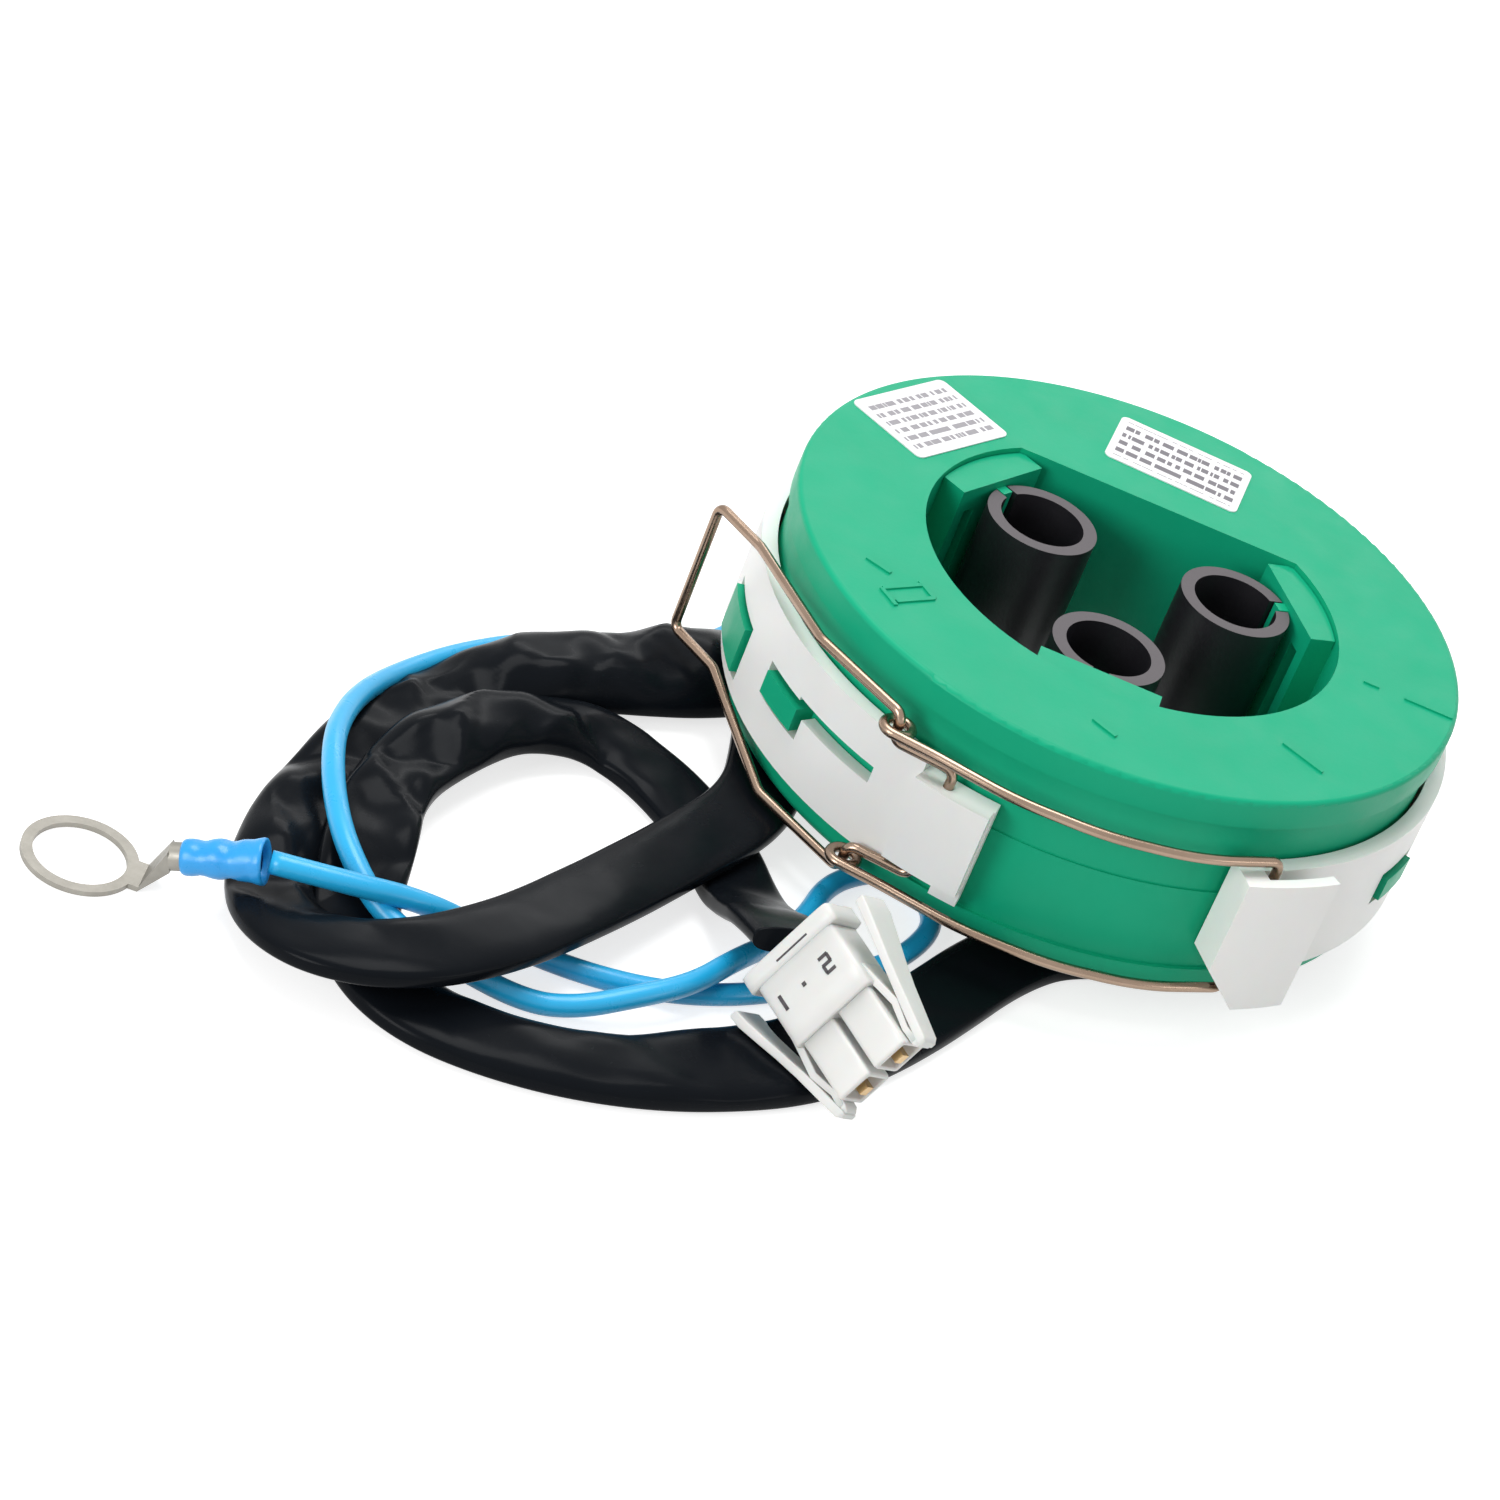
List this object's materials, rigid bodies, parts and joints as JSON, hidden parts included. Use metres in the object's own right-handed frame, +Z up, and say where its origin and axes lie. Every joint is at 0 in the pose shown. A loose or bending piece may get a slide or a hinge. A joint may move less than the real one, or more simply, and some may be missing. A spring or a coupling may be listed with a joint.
{
  "type": "current transformer",
  "caption": "Ring-shaped core-balance current transformer with slit conductor sleeves, a clamp band with wire bail latch, a coiled signal lead with connector, and an earth wire.",
  "frame": {"origin": "on the ring's axis, at the level of the floor the coiled lead lies on", "axes": "+Z up along the ring's axis, +X to the right and +Y away from the reader when the latch is at the front"},
  "size_m": [0.1846, 0.177, 0.0433],
  "materials": {
    "green_housing": "satin",
    "white_band": "satin",
    "bail_wire": "drawn",
    "black_sleeve": "satin",
    "lead_sleeve": "gloss",
    "earth_insulation": "gloss",
    "barrel_vinyl": "gloss",
    "tinned_copper": "satin",
    "connector_nylon": "satin",
    "contact_brass": "satin",
    "core_steel": "wound strip",
    "winding_copper": "enamelled",
    "pad_board": "matt",
    "label_paper": "matt"
  },
  "bodies": {
    "transformer": {"housing_base": "green_housing", "housing_cover": "green_housing", "core_ring": "core_steel", "secondary_winding": "winding_copper", "base_pad": "pad_board", "cover_pad": "pad_board", "conductor_sleeve_1": "black_sleeve", "conductor_sleeve_2": "black_sleeve", "conductor_sleeve_3": "black_sleeve", "clamp_band": "white_band", "label_rating": "label_paper", "label_terminals": "label_paper", "lead_sleeve_upper": "lead_sleeve", "lead_sleeve_lower": "lead_sleeve", "earth_wire": "earth_insulation", "terminal_barrel": "barrel_vinyl", "earth_terminal": "tinned_copper", "connector_housing": "connector_nylon", "contact_1": "contact_brass", "contact_2": "contact_brass"},
    "lever": {"bail_lever": "bail_wire"},
    "link": {"bail_link": "bail_wire"}
  },
  "joints": [
    {"name": "lever_pivot", "type": "hinge", "parent": "transformer", "child": "lever", "pos_m": [-0.01455, -0.05428, 0.0231], "axis": [0, 0, 1], "range_deg": [0, 45]},
    {"name": "link_eye", "type": "hinge", "parent": "lever", "child": "link", "pos_m": [-0.02459, -0.05297, 0.0231], "axis": [0, 0, 1], "range_deg": [-38, 0]}
  ],
  "couplings": [
    {"joint": "link_eye", "follows": "lever_pivot", "ratio": -0.83}
  ]
}
